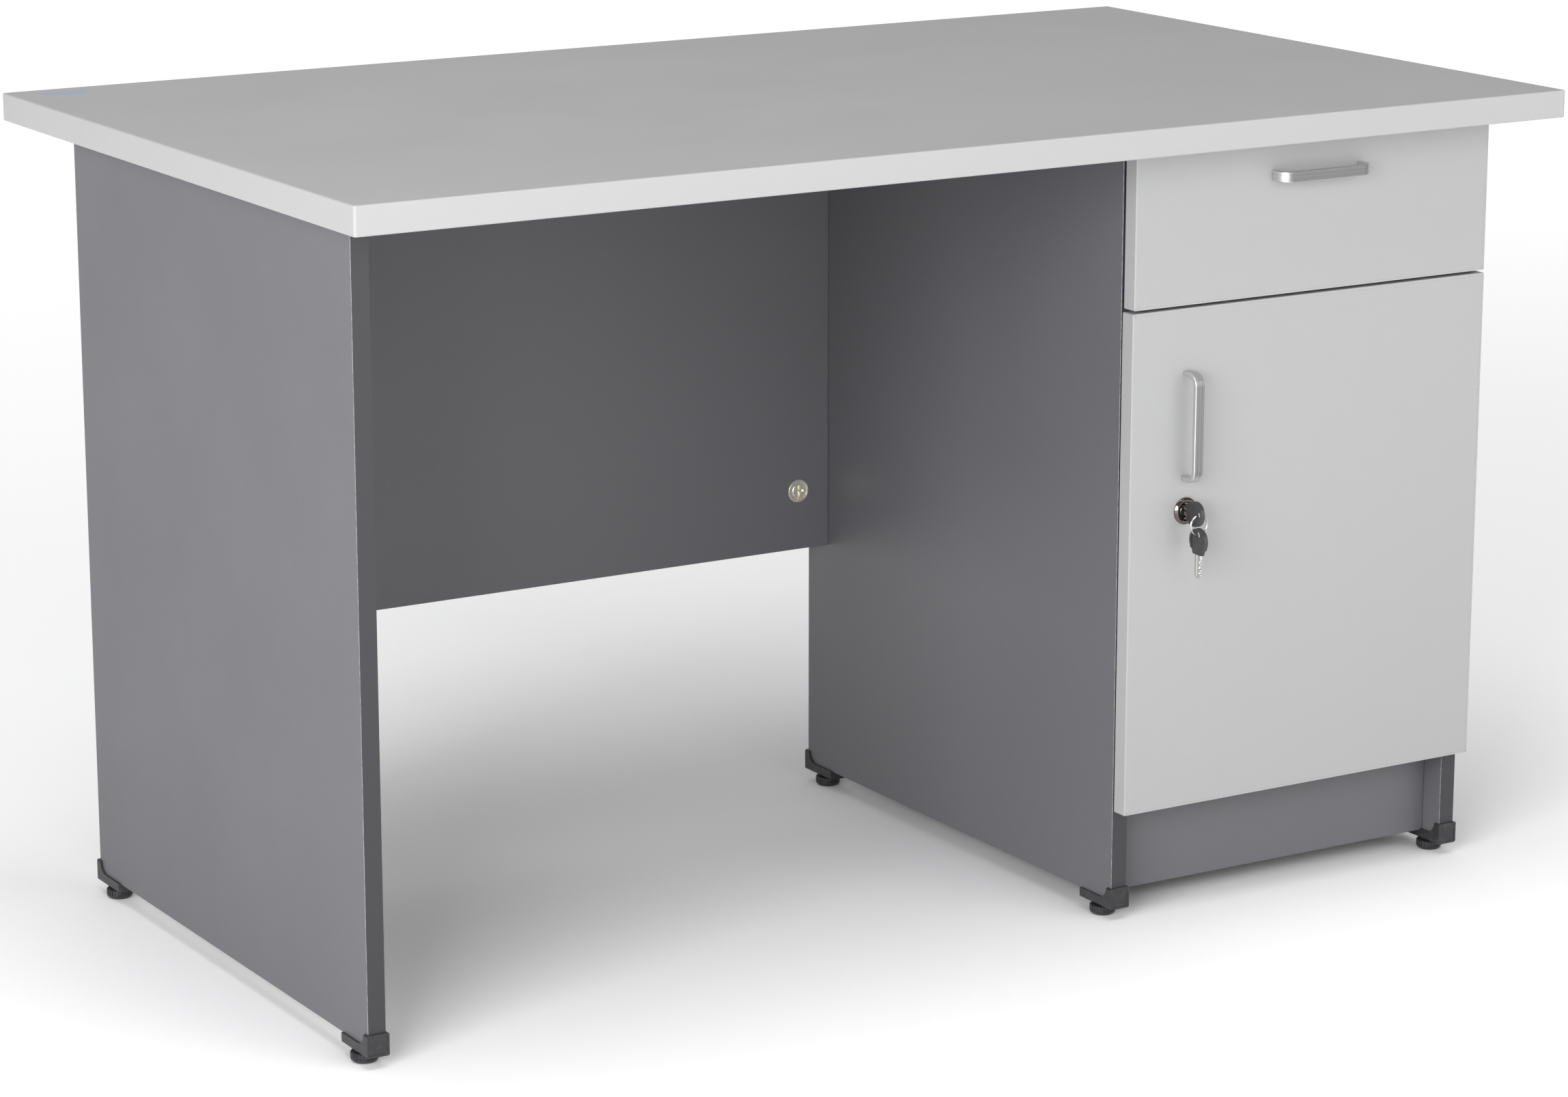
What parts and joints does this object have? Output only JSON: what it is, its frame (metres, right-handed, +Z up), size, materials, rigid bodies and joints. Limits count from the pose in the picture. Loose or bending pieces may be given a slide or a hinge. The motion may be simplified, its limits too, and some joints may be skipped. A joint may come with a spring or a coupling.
{
  "type": "writing desk with drawer and cupboard",
  "caption": "Single-pedestal writing desk: laminate top on board uprights, a bow-handled drawer over a lockable cupboard with a shelf, modesty panel and levelling feet.",
  "frame": {"origin": "on the floor, under the middle of the desktop", "axes": "+X to the pedestal side (the sitter's right), -Y to the front with the drawer and door, +Z up"},
  "size_m": [1.22, 0.72, 0.74],
  "materials": {
    "light_grey_laminate": "pale grey satin laminate on board with matching edge band",
    "charcoal_laminate": "charcoal matt laminate on board",
    "drawer_laminate": "grey foil-wrapped board",
    "hardboard": "painted hardboard",
    "black_plastic": "moulded black plastic",
    "satin_aluminium": "satin anodised",
    "chrome": "polished plating",
    "zinc": "die-cast zinc, slightly yellow",
    "plated_steel": "bright zinc plated sheet steel",
    "nickel": "nickel plated"
  },
  "bodies": {
    "desk": {"adjustable_shelf": "charcoal_laminate", "desktop": "light_grey_laminate", "drawer_divider": "charcoal_laminate", "hinge_arm_lower": "plated_steel", "hinge_arm_upper": "plated_steel", "hinge_plate_lower": "plated_steel", "hinge_plate_upper": "plated_steel", "left_end_panel": "charcoal_laminate", "left_panel_front_shoe": "black_plastic", "left_panel_rear_shoe": "black_plastic", "lock_strike": "plated_steel", "modesty_connector_left": "zinc", "modesty_connector_right": "zinc", "modesty_panel": "charcoal_laminate", "pedestal_back_panel": "charcoal_laminate", "pedestal_floor": "charcoal_laminate", "pedestal_left_front_shoe": "black_plastic", "pedestal_left_panel": "charcoal_laminate", "pedestal_left_rear_shoe": "black_plastic", "pedestal_right_front_shoe": "black_plastic", "pedestal_right_panel": "charcoal_laminate", "pedestal_right_rear_shoe": "black_plastic", "plinth_board": "charcoal_laminate", "runner_outer_left": "plated_steel", "runner_outer_right": "plated_steel", "shelf_pin_left_front": "plated_steel", "shelf_pin_left_rear": "plated_steel", "shelf_pin_right_front": "plated_steel", "shelf_pin_right_rear": "plated_steel"},
    "drawer": {"drawer_front": "light_grey_laminate", "drawer_left_side": "drawer_laminate", "drawer_right_side": "drawer_laminate", "drawer_back": "drawer_laminate", "drawer_bottom": "hardboard", "drawer_handle": "satin_aluminium", "runner_inner_left": "plated_steel", "runner_inner_right": "plated_steel"},
    "runner_middle_left": {"runner_middle_left": "plated_steel"},
    "runner_middle_right": {"runner_middle_right": "plated_steel"},
    "door": {"door_panel": "light_grey_laminate", "door_handle": "satin_aluminium", "lock_housing": "chrome", "lock_nut": "zinc", "hinge_cup_lower": "plated_steel", "hinge_cup_upper": "plated_steel"},
    "lock_and_key": {"lock_plug": "chrome", "lock_cam": "zinc", "key_head": "black_plastic", "key_blade": "nickel"},
    "key_ring": {"key_ring": "nickel"},
    "spare_key": {"spare_key_head": "black_plastic", "spare_key_blade": "nickel"},
    "left_panel_front_foot": {"left_panel_front_foot": "black_plastic"},
    "left_panel_rear_foot": {"left_panel_rear_foot": "black_plastic"},
    "pedestal_left_front_foot": {"pedestal_left_front_foot": "black_plastic"},
    "pedestal_left_rear_foot": {"pedestal_left_rear_foot": "black_plastic"},
    "pedestal_right_front_foot": {"pedestal_right_front_foot": "black_plastic"},
    "pedestal_right_rear_foot": {"pedestal_right_rear_foot": "black_plastic"}
  },
  "joints": [
    {"name": "drawer_slide", "type": "slide", "parent": "desk", "child": "drawer", "axis": [0, -1, 0], "range_m": [0, 0.4]},
    {"name": "runner_left_slide", "type": "slide", "parent": "desk", "child": "runner_middle_left", "axis": [0, -1, 0], "range_m": [0, 0.2]},
    {"name": "runner_right_slide", "type": "slide", "parent": "desk", "child": "runner_middle_right", "axis": [0, -1, 0], "range_m": [0, 0.2]},
    {"name": "door_swing", "type": "hinge", "parent": "desk", "child": "door", "pos_m": [0.571, -0.2867, 0.335], "axis": [0, 0, 1], "range_deg": [0, 110]},
    {"name": "key_turn", "type": "hinge", "parent": "door", "child": "lock_and_key", "pos_m": [0.2377, -0.2977, 0.381], "axis": [0, 1, 0], "range_deg": [0, 90]},
    {"name": "key_ring_slip", "type": "hinge", "parent": "lock_and_key", "child": "key_ring", "pos_m": [0.2377, -0.3193, 0.381], "axis": [0, 1, 0], "range_deg": [-30, 0]},
    {"name": "spare_key_slip", "type": "hinge", "parent": "key_ring", "child": "spare_key", "pos_m": [0.2377, -0.3193, 0.372], "axis": [0, 1, 0], "range_deg": [-60, 0]},
    {"name": "left_panel_front_foot_screw", "type": "slide", "parent": "desk", "child": "left_panel_front_foot", "axis": [0, 0, -1], "range_m": [0, 0.01]},
    {"name": "left_panel_rear_foot_screw", "type": "slide", "parent": "desk", "child": "left_panel_rear_foot", "axis": [0, 0, -1], "range_m": [0, 0.01]},
    {"name": "pedestal_left_front_foot_screw", "type": "slide", "parent": "desk", "child": "pedestal_left_front_foot", "axis": [0, 0, -1], "range_m": [0, 0.01]},
    {"name": "pedestal_left_rear_foot_screw", "type": "slide", "parent": "desk", "child": "pedestal_left_rear_foot", "axis": [0, 0, -1], "range_m": [0, 0.01]},
    {"name": "pedestal_right_front_foot_screw", "type": "slide", "parent": "desk", "child": "pedestal_right_front_foot", "axis": [0, 0, -1], "range_m": [0, 0.01]},
    {"name": "pedestal_right_rear_foot_screw", "type": "slide", "parent": "desk", "child": "pedestal_right_rear_foot", "axis": [0, 0, -1], "range_m": [0, 0.01]}
  ],
  "couplings": [
    {"joint": "runner_left_slide", "follows": "drawer_slide", "ratio": 0.5},
    {"joint": "runner_right_slide", "follows": "drawer_slide", "ratio": 0.5},
    {"joint": "key_ring_slip", "follows": "key_turn", "ratio": -0.33333},
    {"joint": "spare_key_slip", "follows": "key_turn", "ratio": -0.66667}
  ]
}
